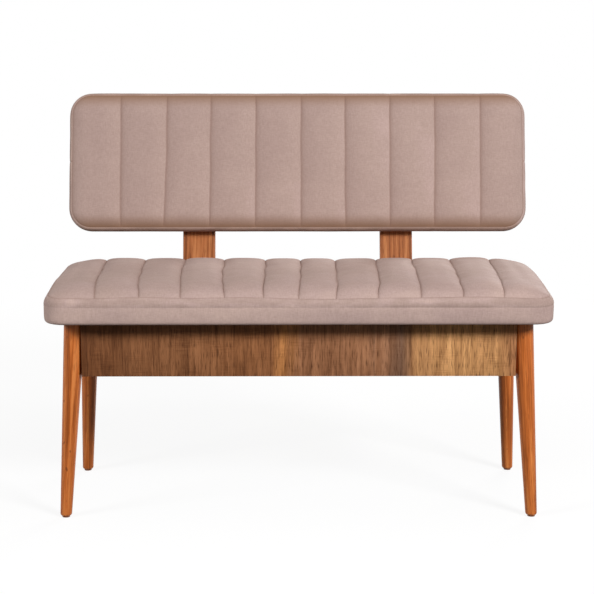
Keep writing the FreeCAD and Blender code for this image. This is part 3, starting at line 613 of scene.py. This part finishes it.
backLean, boardMiddle = math.radians(15.5), 0.0072  # the board's middle lies this far ahead of the hem
boardLow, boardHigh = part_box("back_board")
boardCentre = (boardLow + boardHigh) / 2
backPlace = Matrix((
    (1, 0, 0, 0),
    (0, math.sin(backLean), -math.cos(backLean), boardCentre.y + boardMiddle * math.cos(backLean)),
    (0, math.cos(backLean), math.sin(backLean), boardCentre.z - boardMiddle * math.sin(backLean)),
    (0, 0, 0, 1)))
backSpec = {
    "half": (0.5121, 0.1506), "corner": 0.0426, "arcRows": 8, "midRows": 32, "joinGap": 0.0016,
    "seams": [(-0.401, -0.402), (-0.304, -0.297), (-0.200, -0.198), (-0.096, -0.095), (0.007, 0.008),
              (0.108, 0.108), (0.209, 0.210), (0.310, 0.312), (0.414, 0.416)],  # lower end, upper end
    "wander": 0.0015, "seamLevel": 0.0358, "rise": 0.0045, "crown": 0.002, "puff": 0.0042, "puffReach": 0.02,
    "riseReach": (0.03, 0.03, 0.03),
    "pull": 0.0010, "tuck": 0.0004, "seamWave": 0.0012, "rearLift": 0, "liftReach": 1,
    "cornerDrop": 0, "swayRings": 5, "creaseRing": None,
    "border": [
        (0.0012, 0.0357, 0.6), (0.0032, 0.0347, 0.2), (0.0050, 0.0328, 0), (0.0064, 0.0302, 0),
        (0.0072, 0.0270, 0), (0.0074, 0.0235, 0), (0.0074, 0.0190, 0), (0.0074, 0.0140, 0.2),
        (0.0072, 0.0085, 0.7), (0.0063, 0.0045, 1), (0.0041, 0.0018, 1), (0.0009, 0.0004, 1),
        (-0.0045, 0, 1), (-0.0175, 0, 1), (-0.018, 0.0018, 1)],
    # the pile parts over each seam, and painted shade lies on the right of each seam, the side turned from
    # the key lamp
    "seamShade": {0: 0.4, 1: 0.24, 2: 0.1},
    # painted shade: darker towards the backrest's upper and lower edges and on its left border, turned from
    # the key lamp
    "edgeCrushAndShade": 0.95, "borderCrushAndShade": {"left": 0.2, "rear": 0.42, "front": 0.42},
    # the panel level is painted shade: darker than the seat's, to cancel the extra light on the backrest's
    # upturned face
    "panelShadeLevel": 0.34, "borderTone": 0.75, "rollShadeLevel": 0,
    "leanAcross": 0.4, "leanAlong": 0.04, "hemLevel": 0.008, "broadFold": 0.0004, "gather": 0.0002,
    "startShare": 0.8, "cap": 0.0025, "borderCap": 0.001, "threadMass": 0.01, "pressure": 2.5,
    "slack": 0.003, "fill": 0.7,
    "place": backPlace,
    "nodes": ["back_front_cover", "back_upper_band", "back_lower_band", "back_foam"],
}
backCushion = quiltedCushion("back_cushion_quilted", backSpec)
print("backrest cushion made,", len(backCushion.data.vertices), "vertices")

# Rear cover: a velvet panel with its edge turned in, pulled flat over the back board
rearSpec = {"half": (0.5135, 0.152), "corner": 0.044, "cornerSegments": 10, "thickness": 0.0012,
            "hem": 0.004, "hemShade": 0.45, "lean": 0.5, "flatAngle": 0.01, "sharpAngle": 40}


def makeRearCover():
    spec = rearSpec
    bm = bmesh.new()
    bmesh.ops.create_grid(bm, x_segments=2, y_segments=2, size=1)
    bmesh.ops.scale(bm, vec=(spec["half"][0], spec["half"][1], 1), verts=bm.verts)
    bmesh.ops.dissolve_limit(bm, angle_limit=spec["flatAngle"], verts=bm.verts, edges=bm.edges)
    bmesh.ops.bevel(bm, geom=bm.verts[:], offset=spec["corner"], segments=spec["cornerSegments"], profile=0.5,
                    affect="VERTICES", material=-1)
    bmesh.ops.inset_region(bm, faces=bm.faces[:], thickness=spec["hem"], depth=0)
    seam, lean = bm.verts.layers.float.new("seam"), bm.verts.layers.float.new("lean")
    for vert in bm.verts:
        vert[seam] = spec["hemShade"] if vert.is_boundary else 0
        vert[lean] = spec["lean"]
    bmesh.ops.translate(bm, vec=(0, 0, -spec["thickness"]), verts=bm.verts)
    bmesh.ops.solidify(bm, geom=bm.faces[:], thickness=-spec["thickness"])
    bmesh.ops.recalc_face_normals(bm, faces=bm.faces)
    bmesh.ops.transform(bm, matrix=backPlace, verts=bm.verts)
    piece = makePiece("back_rear_panel", bm, velvet, ["back_rear_cover"], spec["sharpAngle"])
    return piece


makeRearCover()

# Dust cover: thin felt stapled under the seat board, sagging a little in each bay
dustSpec = {"thickness": 0.0011, "sag": 0.003, "cells": (60, 24), "sharpAngle": 40}


def makeDustCover():
    spec = dustSpec
    low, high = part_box("seat_dust_cover")
    middle, half = (low + high) / 2, (high - low) / 2
    bm = bmesh.new()
    bmesh.ops.create_grid(bm, x_segments=spec["cells"][0], y_segments=spec["cells"][1], size=1)
    for vert in bm.verts:
        across, along = vert.co.x, vert.co.y
        bay = math.sin(math.pi * min(abs(across), 1)) ** 2 * max(math.cos(math.pi / 2 * along), 0) ** 2
        vert.co = (middle.x + across * half.x, middle.y + along * half.y, high.z - spec["sag"] * bay)
    bmesh.ops.solidify(bm, geom=bm.faces[:], thickness=spec["thickness"])
    bmesh.ops.recalc_face_normals(bm, faces=bm.faces)
    piece = makePiece("seat_dust_felt", bm, feltCloth, ["seat_dust_cover"], spec["sharpAngle"])
    return piece


makeDustCover()
print("covers made")

# Stage: pale floor that is white to the camera and keeps a soft shadow, white all round
stageSpec = {"radius": 60, "segments": 96, "ambient": 0.06,
             "nearShare": 0.88, "nearReach": 0.7, "farReach": 2.4}  # whiter away from the bench


def seenStraight(tree):  # 1 where the camera, a shiny face or glass looks at the stage
    path = addNode(tree, "ShaderNodeLightPath").outputs
    seen = addNode(tree, "ShaderNodeMath", {0: path["Is Camera Ray"], 1: path["Is Glossy Ray"]},
                   operation="MAXIMUM")
    seenAll = addNode(tree, "ShaderNodeMath", {0: seen.outputs[0], 1: path["Is Transmission Ray"]},
                      operation="MAXIMUM")
    return path["Is Camera Ray"], seenAll.outputs[0]


# plaster, trowelled smooth: matt, white to the eye, and grey in the light that it throws back
floorPaint, tree = newMaterial("plaster_matt_white")
fromCamera, fromAny = seenStraight(tree)
place = addNode(tree, "ShaderNodeTexCoord").outputs["Object"]
away = addNode(tree, "ShaderNodeVectorMath", {0: place}, operation="LENGTH")
share = addNode(tree, "ShaderNodeMapRange", {
    0: away.outputs["Value"], 1: stageSpec["nearReach"], 2: stageSpec["farReach"],
    3: stageSpec["nearShare"], 4: 1.0})
white = addNode(tree, "ShaderNodeMath", {0: fromAny, 1: share.outputs[0]}, operation="MULTIPLY")
mattTone = addNode(tree, "ShaderNodeMix", {0: fromCamera, 6: linear("#707070"), 7: linear("#FFFFFF")},
                   data_type="RGBA")
matt = addNode(tree, "ShaderNodeBsdfDiffuse", {"Color": mattTone.outputs[2]})
glow = addNode(tree, "ShaderNodeEmission", {"Color": linear("#FFFFFF"), "Strength": 1.0})
mixed = addNode(tree, "ShaderNodeMixShader", {0: white.outputs[0], 1: matt.outputs[0], 2: glow.outputs[0]})
addNode(tree, "ShaderNodeOutputMaterial", {"Surface": mixed.outputs[0]})
bm = bmesh.new()
bmesh.ops.create_circle(bm, cap_ends=True, segments=stageSpec["segments"], radius=stageSpec["radius"])
floorMesh = bpy.data.meshes.new("floor")
bm.to_mesh(floorMesh)
bm.free()
floorMesh.materials.append(floorPaint)
floor = bpy.data.objects.new("floor", floorMesh)
scene.collection.objects.link(floor)

world = bpy.data.worlds.new("studio")
world.use_nodes = True
world.node_tree.nodes.clear()
tree = world.node_tree
fromCamera, fromAny = seenStraight(tree)
level = addNode(tree, "ShaderNodeMapRange", {0: fromAny, 3: stageSpec["ambient"], 4: 1.0})
sky = addNode(tree, "ShaderNodeBackground", {"Color": linear("#FFFFFF"), "Strength": level.outputs[0]})
addNode(tree, "ShaderNodeOutputWorld", {"Surface": sky.outputs[0]})
scene.world = world

lampSpec = {
    "keyLamp": {"place": (3.8, -4.3, 3.45), "size": (1.9, 1.3), "power": 395},
    "fillLamp": {"place": (-3.3, -2.0, 1.9), "size": (1.2, 0.9), "power": 82},
    "topLamp": {"place": (0.2, -0.2, 3.0), "size": (1.8, 1.2), "power": 12},
    "rearLamp": {"place": (1.7, 3.25, 0.95), "size": (1.8, 1.0), "power": 100},
}
aimPoint = Vector((0, 0, 0.5))
for name, spec in lampSpec.items():
    lamp = bpy.data.lights.new(name, "AREA")
    lamp.shape, lamp.energy = "RECTANGLE", spec["power"]
    lamp.size, lamp.size_y = spec["size"]
    holder = bpy.data.objects.new(name, lamp)
    holder.location = spec["place"]
    holder.rotation_euler = (aimPoint - holder.location).to_track_quat("-Z", "Y").to_euler()
    scene.collection.objects.link(holder)

# Camera: the photograph's eye, solved from the bench's own edges
cameraSpec = {"place": (-0.0237, -3.5148, 1.0848), "pitch": 10.6, "yaw": 0.345, "lens": 98.9, "sensor": 36}
eye = bpy.data.cameras.new("photoEye")
eye.lens, eye.sensor_width = cameraSpec["lens"], cameraSpec["sensor"]
camera = bpy.data.objects.new("photoEye", eye)
camera.location = cameraSpec["place"]
camera.rotation_euler = (math.radians(90 - cameraSpec["pitch"]), 0, math.radians(-cameraSpec["yaw"]))
scene.collection.objects.link(camera)
scene.camera = camera
scene.view_settings.view_transform = "Standard"
print("stage, lamps and camera made")
